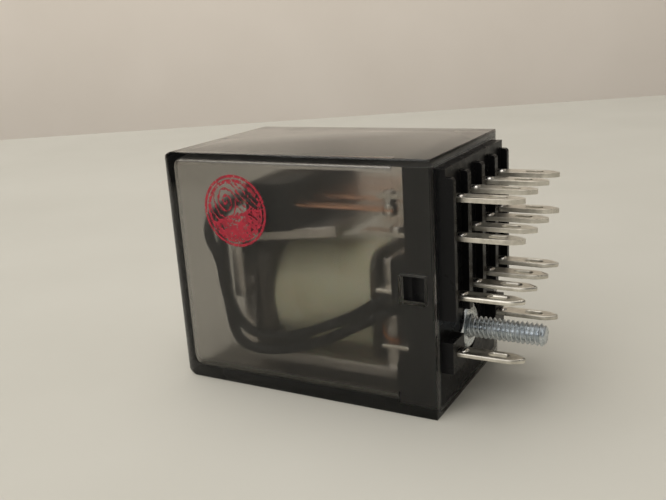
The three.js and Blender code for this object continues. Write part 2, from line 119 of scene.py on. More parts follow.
class Paint:
    """A material under construction: one Principled shader and the nodes that feed it."""

    def __init__(self, name, color, roughness, metallic=0.0):
        self.material = bpy.data.materials.new(name)
        self.material.use_nodes = True
        self.tree = self.material.node_tree
        self.tree.nodes.clear()
        self.output = self.node("ShaderNodeOutputMaterial")
        self.shader = self.node("ShaderNodeBsdfPrincipled")
        self.shader.inputs["Base Color"].default_value = (*color, 1)
        self.shader.inputs["Roughness"].default_value = roughness
        self.shader.inputs["Metallic"].default_value = metallic
        self.link(self.shader.outputs["BSDF"], self.output.inputs["Surface"])
        self.place = None

    def node(self, kind, **settings):
        made = self.tree.nodes.new(kind)
        for key, value in settings.items():
            setattr(made, key, value)
        return made

    def link(self, source, target):
        self.tree.links.new(source, target)

    def position(self, stretch=(1, 1, 1)):
        """The place on the object in millimetres, stretched along each axis."""
        if self.place is None:
            self.place = self.node("ShaderNodeTexCoord").outputs["Object"]
        mapping = self.node("ShaderNodeMapping")
        mapping.inputs["Scale"].default_value = [s / MM for s in stretch]
        self.link(self.place, mapping.inputs["Vector"])
        return mapping.outputs["Vector"]

    def noise(self, scale, detail=3.0, roughness=0.5, stretch=(1, 1, 1), distortion=0.0):
        """Noise from 0 to 1. scale is in features per millimetre."""
        made = self.node("ShaderNodeTexNoise")
        made.inputs["Scale"].default_value = scale
        made.inputs["Detail"].default_value = detail
        made.inputs["Roughness"].default_value = roughness
        made.inputs["Distortion"].default_value = distortion
        self.link(self.position(stretch), made.inputs["Vector"])
        return made.outputs["Fac"]

    def stretch_range(self, value, low, high, new_low, new_high):
        """Maps low..high to new_low..new_high, held at both ends."""
        made = self.node("ShaderNodeMapRange")
        made.inputs["From Min"].default_value = low
        made.inputs["From Max"].default_value = high
        made.inputs["To Min"].default_value = new_low
        made.inputs["To Max"].default_value = new_high
        self.link(value, made.inputs["Value"])
        return made.outputs["Result"]

    def math(self, operation, a, b):
        made = self.node("ShaderNodeMath", operation=operation)
        for socket, value in zip(made.inputs, (a, b)):
            if isinstance(value, (int, float)):
                socket.default_value = value
            else:
                self.link(value, socket)
        return made.outputs["Value"]

    def mix_color(self, factor, a, b):
        """Colour a where factor is 0 and colour b where it is 1."""
        made = self.node("ShaderNodeMix", data_type="RGBA")
        self.link(factor, made.inputs["Factor"])
        for place, value in ((MIX_COLOR_A, a), (MIX_COLOR_B, b)):
            socket = made.inputs[place]
            if isinstance(value, tuple):
                socket.default_value = (*value, 1)
            else:
                self.link(value, socket)
        return made.outputs[MIX_COLOR_RESULT]

    def color(self, source):
        self.link(source, self.shader.inputs["Base Color"])

    def roughness(self, source):
        self.link(source, self.shader.inputs["Roughness"])

    def bump(self, height, distance_mm, strength):
        made = self.node("ShaderNodeBump")
        made.inputs["Strength"].default_value = strength
        made.inputs["Distance"].default_value = distance_mm * MM
        self.link(height, made.inputs["Height"])
        self.link(made.outputs["Normal"], self.shader.inputs["Normal"])

    def inside_cover(self):
        """1 on the cover's inner faces and 0 on its outer ones."""
        wall = 0.7 * MM
        half_height = (cover_high.z - cover_low.z) / 2
        place = self.node("ShaderNodeSeparateXYZ")
        self.link(self.node("ShaderNodeTexCoord").outputs["Object"], place.inputs["Vector"])
        across = self.math("ABSOLUTE", place.outputs["Y"], 0.0)
        up = self.math("SUBTRACT", place.outputs["Z"], (cover_low.z + cover_high.z) / 2)
        tests = [
            self.math("LESS_THAN", across, half_width - wall),
            self.math("GREATER_THAN", place.outputs["X"], left_end + wall),
            self.math("LESS_THAN", self.math("ABSOLUTE", up, 0.0), half_height - wall),
        ]
        return self.math("MULTIPLY", self.math("MULTIPLY", tests[0], tests[1]), tests[2])

    def edge_wear(self, radius_mm):
        """0 on flat faces, rising towards 1 on worn edges."""
        bevel = self.node("ShaderNodeBevel", samples=4)
        bevel.inputs["Radius"].default_value = radius_mm * MM
        geometry = self.node("ShaderNodeNewGeometry")
        dot = self.node("ShaderNodeVectorMath", operation="DOT_PRODUCT")
        self.link(bevel.outputs["Normal"], dot.inputs[0])
        self.link(geometry.outputs["Normal"], dot.inputs[1])
        return self.stretch_range(dot.outputs["Value"], 0.995, 0.9, 0.0, 1.0)


# ---- Materials ---------------------------------------------------------------------------

COVER_TINT = (0.97, 0.955, 0.935)
COVER_SMOKE = (0.08, 0.07, 0.04)
COVER_DENSITY = 400
COVER_STAND_IN = (0.91, 0.905, 0.895)
COVER_IOR = 1.38
COVER_INNER_ROUGHNESS = 0.29


def smoky_cover_material():
    """Clear tinted plastic, polished outside and finely matt inside.

    Lamps reach what is inside through a clear stand-in for the glass.
    """
    paint = Paint("smoky_cover", COVER_TINT, 0.03)
    paint.shader.inputs["Transmission Weight"].default_value = 1.0
    paint.shader.inputs["IOR"].default_value = COVER_IOR
    smudge = paint.stretch_range(paint.noise(0.35, detail=5), 0.45, 0.75, 0.02, 0.08)
    scratch = paint.noise(2.0, detail=2, stretch=(0.15, 1, 3.0), distortion=0.4)
    marks = paint.stretch_range(scratch, 0.66, 0.72, 0.0, 0.10)
    polished = paint.math("ADD", smudge, marks)
    matt = paint.math("MULTIPLY", paint.inside_cover(), COVER_INNER_ROUGHNESS)
    paint.roughness(paint.math("MAXIMUM", polished, matt))
    paint.bump(paint.noise(0.12, detail=2), 0.02, 0.25)
    clear = paint.node("ShaderNodeBsdfTransparent")
    clear.inputs["Color"].default_value = (*COVER_STAND_IN, 1)
    path = paint.node("ShaderNodeLightPath")
    surface = paint.shader.outputs["BSDF"]
    for kind in ("Is Shadow Ray", "Is Diffuse Ray"):
        mix = paint.node("ShaderNodeMixShader")
        paint.link(path.outputs[kind], mix.inputs["Fac"])
        paint.link(surface, mix.inputs[1])
        paint.link(clear.outputs["BSDF"], mix.inputs[2])
        surface = mix.outputs["Shader"]
    paint.link(surface, paint.output.inputs["Surface"])
    tint = paint.node("ShaderNodeVolumeAbsorption")
    tint.inputs["Color"].default_value = (*COVER_SMOKE, 1)
    tint.inputs["Density"].default_value = COVER_DENSITY
    paint.link(tint.outputs["Volume"], paint.output.inputs["Volume"])
    return paint.material


def black_moulding_material():
    """Black plastic with clouded gloss, grains of dust and slightly worn edges."""
    plastic = (0.006, 0.006, 0.0065)
    dusty = (0.06, 0.058, 0.054)
    paint = Paint("black_moulding", (0.006, 0.006, 0.006), 0.3)
    paint.shader.inputs["IOR"].default_value = 1.3
    paint.shader.inputs["Specular IOR Level"].default_value = 0.3
    cloud = paint.noise(0.6, detail=4)
    dust = paint.stretch_range(paint.noise(5, detail=4, roughness=0.7), 0.70, 0.80, 0.0, 0.35)
    wear = paint.math("MULTIPLY", paint.edge_wear(0.12), 0.2)
    light = paint.math("MAXIMUM", dust, wear)
    paint.color(paint.mix_color(light, plastic, dusty))
    base = paint.stretch_range(cloud, 0.3, 0.7, 0.22, 0.38)
    paint.roughness(paint.math("ADD", base, paint.math("MULTIPLY", dust, 0.4)))
    paint.bump(paint.noise(14, detail=2), 0.004, 0.4)
    return paint.material


DRAWN = (0.12, 1, 1)
EVEN = (1, 1, 1)


def metal(name, dark, light, roughness, streak=DRAWN, grain=3.0, bump_mm=0.004):
    """Metal with drawn or even streaks, cloudy tarnish and worn bright edges."""
    paint = Paint(name, light, roughness, metallic=1.0)
    cloud = paint.noise(0.9, detail=5, roughness=0.6)
    lines = paint.noise(grain, detail=4, stretch=streak)
    tarnish = paint.stretch_range(cloud, 0.35, 0.7, 0.0, 1.0)
    mixed = paint.mix_color(tarnish, light, dark)
    bright = tuple(min(1.0, c * 1.15) for c in light)
    paint.color(paint.mix_color(paint.edge_wear(0.06), mixed, bright))
    paint.roughness(paint.stretch_range(lines, 0.3, 0.7, roughness * 0.7, roughness * 1.35))
    paint.bump(lines, bump_mm, 0.6)
    return paint.material


def tin_plate_material():
    return metal("tin_plate", (0.54, 0.51, 0.45), (0.77, 0.735, 0.655), 0.36)


def zinc_plate_material():
    return metal("zinc_plate", (0.53, 0.575, 0.60), (0.86, 0.90, 0.92), 0.28, streak=EVEN)


def stud_zinc_material():
    """Zinc plate of the thread, a little darker and with a broader, shallower grain."""
    dark = (0.48, 0.52, 0.55)
    light = (0.68, 0.72, 0.75)
    return metal("stud_zinc", dark, light, 0.28, streak=EVEN, grain=1.5, bump_mm=0.001)


def plated_steel_material():
    return metal("plated_steel", (0.52, 0.48, 0.44), (0.76, 0.72, 0.67), 0.32)


def copper_alloy_material():
    return metal("copper_alloy", (0.42, 0.20, 0.11), (0.80, 0.45, 0.29), 0.3)


def contact_silver_material():
    return metal("contact_silver", (0.50, 0.46, 0.42), (0.88, 0.86, 0.82), 0.25, streak=EVEN)


def phenolic_material():
    """Dark brown moulding with soft clouds and a fine grain."""
    paint = Paint("phenolic", (0.05, 0.035, 0.025), 0.45)
    cloud = paint.stretch_range(paint.noise(1.5, detail=5), 0.35, 0.7, 0, 1)
    paint.color(paint.mix_color(cloud, (0.060, 0.046, 0.030), (0.026, 0.019, 0.013)))
    paint.bump(paint.noise(9, detail=3), 0.01, 0.5)
    return paint.material


def copper_wire_material():
    """Enamelled wire: fine turns along the coil, in two mixed coppers."""
    paint = Paint("copper_wire", (0.45, 0.17, 0.07), 0.3, metallic=0.8)
    turns = paint.node("ShaderNodeTexWave", bands_direction="X")
    turns.inputs["Scale"].default_value = 0.8
    turns.inputs["Distortion"].default_value = 0.2
    paint.link(paint.position(), turns.inputs["Vector"])
    shade = paint.noise(1.2, detail=3)
    paint.color(paint.mix_color(shade, (0.30, 0.10, 0.04), (0.62, 0.26, 0.11)))
    paint.bump(turns.outputs["Fac"], 0.03, 0.7)
    return paint.material


def cream_tape_material():
    """Polyester tape: faint cloth-like lines, and soft clouds of two creams."""
    paint = Paint("cream_tape", (0.75, 0.70, 0.48), 0.42)
    paint.shader.inputs["Subsurface Weight"].default_value = 0.2
    paint.shader.inputs["Subsurface Scale"].default_value = 0.4 * MM
    lines = paint.noise(2.2, detail=3, stretch=(4, 0.25, 0.25))
    cloud = paint.stretch_range(paint.noise(0.3, detail=4), 0.35, 0.65, 0, 1)
    paint.color(paint.mix_color(cloud, (0.90, 0.87, 0.66), (0.82, 0.77, 0.54)))
    paint.bump(lines, 0.03, 0.5)
    return paint.material


def black_sleeve_material():
    """Black insulation with uneven gloss."""
    paint = Paint("black_sleeve", (0.008, 0.008, 0.008), 0.32)
    paint.shader.inputs["Specular IOR Level"].default_value = 0.3
    cloud = paint.noise(1.6, detail=4)
    paint.roughness(paint.stretch_range(cloud, 0.3, 0.7, 0.22, 0.45))
    paint.bump(paint.noise(6, detail=3), 0.008, 0.5)
    return paint.material


def red_ink_material():
    """Stamping ink, lighter and darker in patches."""
    paint = Paint("red_ink", (0.62, 0.01, 0.04), 0.5)
    cloud = paint.stretch_range(paint.noise(2.5, detail=5), 0.35, 0.65, 0, 1)
    paint.color(paint.mix_color(cloud, (0.46, 0.008, 0.033), (0.26, 0.004, 0.018)))
    paint.bump(paint.noise(12, detail=3), 0.01, 0.5)
    return paint.material


def paper_material(name, low, high, scale):
    """Matt pale surface with soft clouds of two close tones."""
    paint = Paint(name, low, 0.7)
    cloud = paint.stretch_range(paint.noise(scale, detail=5), 0.3, 0.7, 0, 1)
    paint.color(paint.mix_color(cloud, low, high))
    paint.bump(paint.noise(2.5, detail=4), 0.02, 0.3)
    return paint.material


MATERIALS = {
    "smoky_cover": smoky_cover_material(),
    "black_moulding": black_moulding_material(),
    "tin_plate": tin_plate_material(),
    "zinc_plate": zinc_plate_material(),
    "plated_steel": plated_steel_material(),
    "copper_alloy": copper_alloy_material(),
    "contact_silver": contact_silver_material(),
    "phenolic": phenolic_material(),
    "copper_wire": copper_wire_material(),
    "cream_tape": cream_tape_material(),
    "black_sleeve": black_sleeve_material(),
}
RED_INK = red_ink_material()
STUD_ZINC = stud_zinc_material()


# ---- Mesh helpers ------------------------------------------------------------------------

CORNER_GAP = 0.001 * MM
FLAT_ANGLE = math.radians(1)
SHARP_ANGLE = math.radians(30)


def new_object(name, mesh, material):
    piece = bpy.data.objects.new(name, mesh)
    bpy.context.collection.objects.link(piece)
    if material is not None:
        piece.data.materials.append(material)
    return piece


def mesh_from(bm, name):
    mesh = bpy.data.meshes.new(name)
    bmesh.ops.recalc_face_normals(bm, faces=bm.faces)
    bm.to_mesh(mesh)
    bm.free()
    return mesh


def smooth(piece, angle_degrees):
    """Smooth shading, kept sharp across edges steeper than the angle."""
    mesh = piece.data
    mesh.polygons.foreach_set("use_smooth", [True] * len(mesh.polygons))
    limit = math.radians(angle_degrees)
    bm = bmesh.new()
    bm.from_mesh(mesh)
    for edge in bm.edges:
        edge.smooth = len(edge.link_faces) == 2 and edge.calc_face_angle(0) < limit
    bm.to_mesh(mesh)
    bm.free()


def box_object(name, low, high, material=None):
    """A box between two corners."""
    bm = bmesh.new()
    bmesh.ops.create_cube(bm, size=1)
    size = high - low
    middle = (low + high) / 2
    for vertex in bm.verts:
        vertex.co = Vector(a * b for a, b in zip(vertex.co, size)) + middle
    return new_object(name, mesh_from(bm, name), material)


def apply_modifiers(piece):
    """Bakes the piece's modifiers into its mesh."""
    graph = bpy.context.evaluated_depsgraph_get()
    baked = bpy.data.meshes.new_from_object(piece.evaluated_get(graph))
    piece.modifiers.clear()
    piece.data = baked


def cut(piece, tool):
    """Cuts the tool out of the piece and removes the tool."""
    modifier = piece.modifiers.new("boolean", "BOOLEAN")
    modifier.operation = "DIFFERENCE"
    modifier.solver = "EXACT"
    modifier.object = tool
    apply_modifiers(piece)
    bpy.data.objects.remove(tool)


def bevel(piece, width_mm):
    """Rounds the sharp edges with modifiers: joined corners, merged flat faces, then a bevel."""
    weld = piece.modifiers.new("join_corners", "WELD")
    weld.merge_threshold = CORNER_GAP
    flat = piece.modifiers.new("merge_flat_faces", "DECIMATE")
    flat.decimate_type = "DISSOLVE"
    flat.angle_limit = FLAT_ANGLE
    rounding = piece.modifiers.new("rounding", "BEVEL")
    rounding.width = width_mm * MM
    rounding.segments = 2
    rounding.limit_method = "ANGLE"
    rounding.angle_limit = SHARP_ANGLE
    rounding.miter_outer = "MITER_ARC"


def skin(rings, closed_loop=False):
    """A bmesh skin through rings of points. Each ring is a closed loop with as many points.

    The two end rings are filled, or with closed_loop the last ring is joined to the first.
    """
    bm = bmesh.new()
    loops = [[bm.verts.new(p) for p in ring] for ring in rings]
    if closed_loop:
        loops.append(loops[0])
    count = len(loops[0])
    for first, second in zip(loops, loops[1:]):
        for i in range(count):
            j = (i + 1) % count
            bm.faces.new((first[i], first[j], second[j], second[i]))
    if not closed_loop:
        bm.faces.new(loops[0][::-1])
        bm.faces.new(loops[-1])
    return bm


def turn_angles(sides):
    """Even angles round a full turn."""
    return [2 * math.pi * i / sides for i in range(sides)]


def around(x, axis_y, axis_z, radius, angle):
    """A point round an axis along X, by its radius and its angle from +Y."""
    return Vector((x, axis_y + radius * math.cos(angle), axis_z + radius * math.sin(angle)))


# ---- Dust cover --------------------------------------------------------------------------

SIDE_WALL = 1.2 * MM
EDGE_WALL = 1.0 * MM
OUTER_ROUNDING = 1.9 * MM
INNER_ROUNDING = 1.6 * MM
ROUNDING_SEGMENTS = 7
EDGE_TOLERANCE = 0.1 * MM
MOUTH_START = 29.4
WINDOW_ENDS = (30.1, 33.0)
WINDOW_HEIGHTS = (12.75, 15.85)


def weighted_bevel(piece, width, weigh):
    """Bevels the edges that weigh() gives a weight, then bakes the result."""
    mesh = piece.data
    weights = mesh.attributes.new("bevel_weight_edge", "FLOAT", "EDGE")
    for edge in mesh.edges:
        a, b = (mesh.vertices[i].co for i in edge.vertices)
        weights.data[edge.index].value = weigh(a, b)
    rounding = piece.modifiers.new("rounding", "BEVEL")
    rounding.width = width
    rounding.segments = ROUNDING_SEGMENTS
    rounding.limit_method = "WEIGHT"
    apply_modifiers(piece)


def at_closed_end(a, b, end):
    """True for an edge from a to b that lies at the closed end."""
    return max(a.x, b.x) < end + EDGE_TOLERANCE


def runs_along_x(a, b):
    return abs(a.x - b.x) > EDGE_TOLERANCE


def make_cover():
    """Thin clear shell, open at the base end, with a latch window in each side."""
    inset = 0.02 * MM
    low = cover_low + Vector((0, inset, 0))
    high = cover_high - Vector((0, inset, 0))
    shell = box_object("clear_cover", low, high, MATERIALS["smoky_cover"])
    middle = (low + high) / 2

    def outer_weight(a, b):
        if at_closed_end(a, b, low.x):
            return 1.0
        return 0.12 if runs_along_x(a, b) else 0.06

    weighted_bevel(shell, OUTER_ROUNDING, outer_weight)

    past_mouth = Vector((2 * MM, 0, 0))
    cavity_low = low + Vector((SIDE_WALL, SIDE_WALL, EDGE_WALL))
    cavity_high = high - Vector((0, SIDE_WALL, EDGE_WALL)) + past_mouth
    cavity = box_object("cavity", cavity_low, cavity_high)

    def inner_weight(a, b):
        if not runs_along_x(a, b):
            return 0.85 if at_closed_end(a, b, cavity_low.x) else 0.0
        return 0.45 if a.z > middle.z else 1.0

    weighted_bevel(cavity, INNER_ROUNDING, inner_weight)
    cut(shell, cavity)
    mouth_low = Vector((along(MOUTH_START), cavity_low.y, cavity_low.z))
    cut(shell, box_object("mouth", mouth_low, cavity_high))

    window_low = Vector((along(WINDOW_ENDS[0]), -2 * half_width, WINDOW_HEIGHTS[0] * MM))
    window_high = Vector((along(WINDOW_ENDS[1]), 2 * half_width, WINDOW_HEIGHTS[1] * MM))
    cut(shell, box_object("window", window_low, window_high))
    smooth(shell, 30)
    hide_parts("dust_cover")
    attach(shell, "root")


# ---- Stud and nut ------------------------------------------------------------------------

STUD_RADIUS = 1.258
STUD_CORE = 0.97
STUD_SIDES = 56
THREAD_PITCH = 0.529
STEPS_PER_PITCH = 16
THREAD_IN_BASE = 0.5
THREAD_RUN_OUT = 0.4
NUT_SIDES = 96


def thread_radius(phase):
    """Radius of a 60 degree thread at a phase from 0 to 1, with a flat root and a narrow crest."""
    rise = 0.42
    root = 0.10
    if phase < root:
        share = 0.0
    elif phase < root + rise:
        share = (phase - root) / rise
    elif phase < 1 - rise:
        share = 1.0
    else:
        share = (1 - phase) / rise
    return STUD_CORE + (STUD_RADIUS - STUD_CORE) * share


def make_stud():
    """Plain shank that ends inside the base, then a helical thread with a chamfered tip."""
    low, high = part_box("mounting_stud")
    axis_y = (low.y + high.y) / 2
    axis_z = (low.z + high.z) / 2
    start = (low.x - left_end) / MM
    end = (high.x - left_end) / MM
    thread_start = (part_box("hex_nut")[0].x - left_end) / MM - THREAD_IN_BASE
    shank_radius = STUD_RADIUS - 0.03
    tip_radius = STUD_CORE - 0.05
    tip_slope = 0.9
    step = THREAD_PITCH / STEPS_PER_PITCH
    places = [start, thread_start - THREAD_RUN_OUT]
    count = math.ceil((end - thread_start) / step)
    places += [thread_start + (end - thread_start) * i / count for i in range(count + 1)]
    rings = []
    for x in places:
        ring = []
        for i, angle in enumerate(turn_angles(STUD_SIDES)):
            if x < thread_start:
                radius = shank_radius
            else:
                radius = thread_radius((x / THREAD_PITCH - i / STUD_SIDES) % 1.0)
            radius = min(radius, tip_radius + max(0.0, end - x) * tip_slope)
            ring.append(around(along(x), axis_y, axis_z, radius * MM, angle))
        rings.append(ring)
    stud = new_object("threaded_stud", mesh_from(skin(rings), "threaded_stud"), STUD_ZINC)
    smooth(stud, 80)
    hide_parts("mounting_stud")
    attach(stud, "root")


def make_nut():
    """Hexagon nut with rounded-off corners on both faces and a countersunk bore."""
    low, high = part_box("hex_nut")
    axis_y = (low.y + high.y) / 2
    axis_z = (low.z + high.z) / 2
    flats = (high.y - low.y) / 2
    face_radius = flats * 0.97
    bore = (STUD_RADIUS + 0.03) * MM
    sink_radius = bore * 1.15
    sink_depth = 0.15 * MM
    chamfer = 0.30 * MM
    chamfer_steps = 6
    chamfer_slope = math.tan(math.radians(60))
    steeper = 1.1

    def hexagon(angle):
        sector = math.pi / 3
        offset = (angle % sector) - sector / 2
        return flats / math.cos(offset)

    def ring(x, limit):
        angles = turn_angles(NUT_SIDES)
        return [around(x, axis_y, axis_z, min(hexagon(angle), limit), angle) for angle in angles]

    places = []
    for i in range(chamfer_steps + 1):
        depth = chamfer * i / chamfer_steps
        places.append((depth, face_radius + depth * chamfer_slope * steeper))
    profile = [(low.x, sink_radius)]
    profile += [(low.x + depth, radius) for depth, radius in places]
    profile += [(high.x - depth, radius) for depth, radius in reversed(places)]
    profile += [(high.x, sink_radius)]
    profile += [(high.x - sink_depth, bore), (low.x + sink_depth, bore)]
    rings = [ring(x, radius) for x, radius in profile]
    mesh = mesh_from(skin(rings, closed_loop=True), "stud_nut")
    nut = new_object("stud_nut", mesh, MATERIALS["zinc_plate"])
    smooth(nut, 25)
    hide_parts("hex_nut")
    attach(nut, "root")


# ---- Return spring -----------------------------------------------------------------------

def make_return_spring():
    """Bent leaf under the yoke, with room for the armature's heel to rock back."""
    low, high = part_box("hinge_spring")
    leaf = 0.2 * MM
    heel_room = 0.03 * MM
    upright = low.x + leaf - heel_room
    profile = [
        (low.x, low.z),
        (high.x, low.z),
        (high.x, low.z + leaf),
        (upright, low.z + leaf),
        (upright, high.z),
        (low.x, high.z),
    ]
    rings = [[Vector((x, y, z)) for x, z in profile] for y in (low.y, high.y)]
    mesh = mesh_from(skin(rings), "return_spring")
    spring = new_object("return_spring", mesh, MATERIALS["copper_alloy"])
    bevel(spring, 0.04)
    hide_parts("hinge_spring")
    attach(spring, "root")


# ---- Coil --------------------------------------------------------------------------------

TAPE_THICKNESS = 0.3 * MM
TAPE_SIDES = 120
TAPE_ROWS = 40
TAPE_INNER_ROWS = 6
LAP_START = math.radians(200)
LAP_REACH = math.radians(70)


def tape_stand_off(t, angle):
    """Millimetres by which the tape stands off its plain cylinder, mostly inwards.

    t goes from 0 to 1 along the coil. Wrinkles of two sizes, slack between the ends, and the
    last turn's lap over the one below it.
    """
    wave = noise.noise(Vector((t * 9, math.cos(angle) * 2.2, math.sin(angle) * 2.2)))
    fine = noise.noise(Vector((t * 30, math.cos(angle) * 5, math.sin(angle) * 5)))
    sag = 0.07 * math.sin(math.pi * t) ** 0.5
    lap = 0.06 if (angle - LAP_START) % (2 * math.pi) < LAP_REACH else 0.0
    return wave * 0.06 + fine * 0.025 + lap - sag - 0.09


def make_tape():
    """Tape wound over the coil, a sleeve with a wrinkled outer face and a plain inner one."""
    low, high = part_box("coil_tape")
    middle = (low + high) / 2
    outer = (high.z - low.z) / 2
    inner = outer - TAPE_THICKNESS

    def ring(radius, t, wrinkled):
        x = low.x + (high.x - low.x) * t
        points = []
        for angle in turn_angles(TAPE_SIDES):
            reach = radius + tape_stand_off(t, angle) * MM if wrinkled else radius
            points.append(around(x, middle.y, middle.z, reach, angle))
        return points

    rings = [ring(outer, row / TAPE_ROWS, True) for row in range(TAPE_ROWS + 1)]
    inner_rows = reversed(range(TAPE_INNER_ROWS + 1))
    rings += [ring(inner, row / TAPE_INNER_ROWS, False) for row in inner_rows]
    mesh = mesh_from(skin(rings, closed_loop=True), "coil_wrap")
    tape = new_object("coil_wrap", mesh, MATERIALS["cream_tape"])
    smooth(tape, 60)
    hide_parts("coil_tape")
    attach(tape, "root")


# ---- Leads -------------------------------------------------------------------------------

# Routes on the +Y side, as (x, y, z) in the millimetres of point().
OUTER_POLE_ROUTE = [
    (9.3, 6.6, 21.96), (8.0, 6.8, 21.6), (6.7, 7.0, 20.4), (6.1, 7.0, 18.6), (6.15, 6.95, 15.8),
    (6.2, 6.95, 12.5), (6.5, 6.95, 9.6), (7.5, 6.9, 7.4), (9.0, 7.1, 6.3), (11.0, 7.35, 5.95),
    (13.3, 7.4, 6.05), (16.4, 7.4, 6.8), (20.0, 7.4, 8.2), (23.6, 7.4, 9.9), (25.8, 7.2, 11.3),
    (26.9, 6.8, 12.0), (27.7, 6.6, 12.2),
]
INNER_POLE_ROUTE = [
    (9.3, 2.2, 21.96), (7.4, 2.8, 21.8), (5.6, 4.6, 21.0), (4.7, 6.5, 19.9), (4.9, 7.8, 18.5),
    (5.3, 8.15, 17.2), (6.05, 8.2, 15.8), (6.5, 8.2, 14.4), (6.75, 8.2, 12.0), (7.15, 8.2, 9.5),
    (7.45, 8.2, 7.2), (8.1, 8.15, 5.5), (9.4, 8.1, 4.65), (11.2, 8.1, 4.4), (13.3, 8.1, 4.6),
    (16.4, 8.1, 5.3), (20.0, 8.1, 6.7), (23.6, 8.1, 8.6), (26.2, 7.8, 10.0), (28.2, 6.6, 10.9),
    (29.1, 4.8, 11.7), (29.2, 3.4, 12.1), (29.2, 2.2, 12.2),
]
COIL_LEAD_ROUTE = [
    (26.3, 5.4, 9.6), (26.4, 6.0, 8.8), (26.8, 6.5, 7.7), (27.5, 6.6, 7.25), (28.6, 6.6, 7.23),
]
SLEEVE_RADIUS = 0.6
COIL_WIRE_RADIUS = 0.17
CURVE_STEPS = 24


def spline_points(route, steps):
    """Even steps along a smooth curve through the route's points."""
    points = [Vector(p) for p in route]
    points = [points[0] * 2 - points[1]] + points + [points[-1] * 2 - points[-2]]
    dense = []
    for i in range(1, len(points) - 2):
        p0, p1, p2, p3 = points[i - 1: i + 3]
        for k in range(CURVE_STEPS):
            t = k / CURVE_STEPS
            dense.append(0.5 * (
                2 * p1 + (p2 - p0) * t + (2 * p0 - 5 * p1 + 4 * p2 - p3) * t * t
                + (3 * p1 - p0 - 3 * p2 + p3) * t ** 3
            ))
    dense.append(points[-2])
    lengths = [0.0]
    for a, b in zip(dense, dense[1:]):
        lengths.append(lengths[-1] + (b - a).length)
    result = []
    j = 0
    for i in range(steps + 1):
        target = lengths[-1] * i / steps
        while j < len(lengths) - 2 and lengths[j + 1] < target:
            j += 1
        share = (target - lengths[j]) / max(lengths[j + 1] - lengths[j], 1e-9)
        result.append(dense[j].lerp(dense[j + 1], min(max(share, 0), 1)))
    return result


def tube_object(name, route, radius_mm, material, sides, steps, profile=None):
    """A round tube along the route. profile(t) scales its radius along the way."""
    path = spline_points(route, steps)
    rings = []
    normal = Vector((0, 0, 1))
    for i, place in enumerate(path):
        before = path[max(i - 1, 0)]
        after = path[min(i + 1, len(path) - 1)]
        tangent = (after - before).normalized()
        normal = (normal - tangent * normal.dot(tangent)).normalized()
        other = tangent.cross(normal)
        radius = radius_mm * (profile(i / steps) if profile else 1.0)
        ring = []
        for angle in turn_angles(sides):
            outwards = normal * math.cos(angle) + other * math.sin(angle)
            ring.append(point(*(place + radius * outwards)))
        rings.append(ring)
    piece = new_object(name, mesh_from(skin(rings), name), material)
    smooth(piece, 50)
    return piece


def rounded_ends(t):
    """Tube radius factor that rounds off both cut ends of a sleeve."""
    edge = 0.012
    end_factor = 0.75
    near = min(t, 1 - t)
    if near >= edge:
        return 1.0
    return end_factor + (1 - end_factor) * math.sqrt(max(0.0, 1 - (1 - near / edge) ** 2))


def on_side(route, side):
    """The route itself for side 1, and its mirror image for side -1."""
    return [(x, side * y, z) for x, y, z in route]


def make_flex_leads():
    """Four sleeved leads, curved from the armature at their tops down to the base."""
    poles = [
        (OUTER_POLE_ROUTE, -1),
        (INNER_POLE_ROUTE, -1),
        (INNER_POLE_ROUTE, 1),
        (OUTER_POLE_ROUTE, 1),
    ]
    sleeve = MATERIALS["black_sleeve"]
    for number, (route, side) in enumerate(poles, 1):
        lead = tube_object(
            f"pigtail_{number}", on_side(route, side), SLEEVE_RADIUS, sleeve,
            sides=20, steps=150, profile=rounded_ends,
        )
        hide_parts(f"flex_lead_{number}")
        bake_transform(lead)


def make_coil_leads():
    wire = MATERIALS["copper_wire"]
    for number, side in ((1, -1), (2, 1)):
        lead = tube_object(
            f"coil_wire_end_{number}", on_side(COIL_LEAD_ROUTE, side), COIL_WIRE_RADIUS, wire,
            sides=12, steps=40,
        )
        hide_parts(f"coil_lead_{number}")
        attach(lead, "root")


# ---- Inspection stamp --------------------------------------------------------------------

STAMP_CENTRE = (10.3, 21.5)
STAMP_RADIUS = 4.15
STAMP_CELLS = 150
OUTER_RING_WIDTH = 0.3
INNER_RING_RADIUS = STAMP_RADIUS - 0.66
INNER_RING_HALF_WIDTH = 0.18
FIGURE_RADIUS = STAMP_RADIUS - 0.86
SPIRAL_CENTRE = (-1.1, 1.1)
SPIRAL_PITCH = 0.62
STROKE_PITCH = 0.85


def stamp_inked(u, v):
    """True where the generic mark has ink. u and v are millimetres from its centre.

    Two rings round a figure: a blotch below, a spiral at the upper left, and strokes at the
    upper right. Noise wears them all.
    """
    radius = math.hypot(u, v)
    rough = noise.noise(Vector((u * 2.2, v * 2.2, 3.1)))
    fine = noise.noise(Vector((u * 5.5, v * 5.5, 9.7)))
    patchy = 0.6 * fine + 0.4 * rough
    if radius > STAMP_RADIUS - OUTER_RING_WIDTH:
        return radius < STAMP_RADIUS and patchy > -0.28
    if abs(radius - INNER_RING_RADIUS) < INNER_RING_HALF_WIDTH:
        return patchy > -0.17
    if radius > FIGURE_RADIUS:
        return patchy > 0.30
    slope = v - 0.35 * u
    if slope < -0.4 + 0.5 * rough:
        return patchy > -0.15 + 0.04 * v
    if u < 0.3:
        across = u - SPIRAL_CENTRE[0]
        up = v - SPIRAL_CENTRE[1]
        turn = math.atan2(up, across) / (2 * math.pi)
        curl = (math.hypot(across, 0.8 * up) / SPIRAL_PITCH + turn + 0.25 * rough) % 1.0
        return curl < 0.30 and patchy > -0.20
    stroke = (0.9 * u + v + 0.2 * rough) % STROKE_PITCH
    return stroke < 0.26 and patchy > -0.08


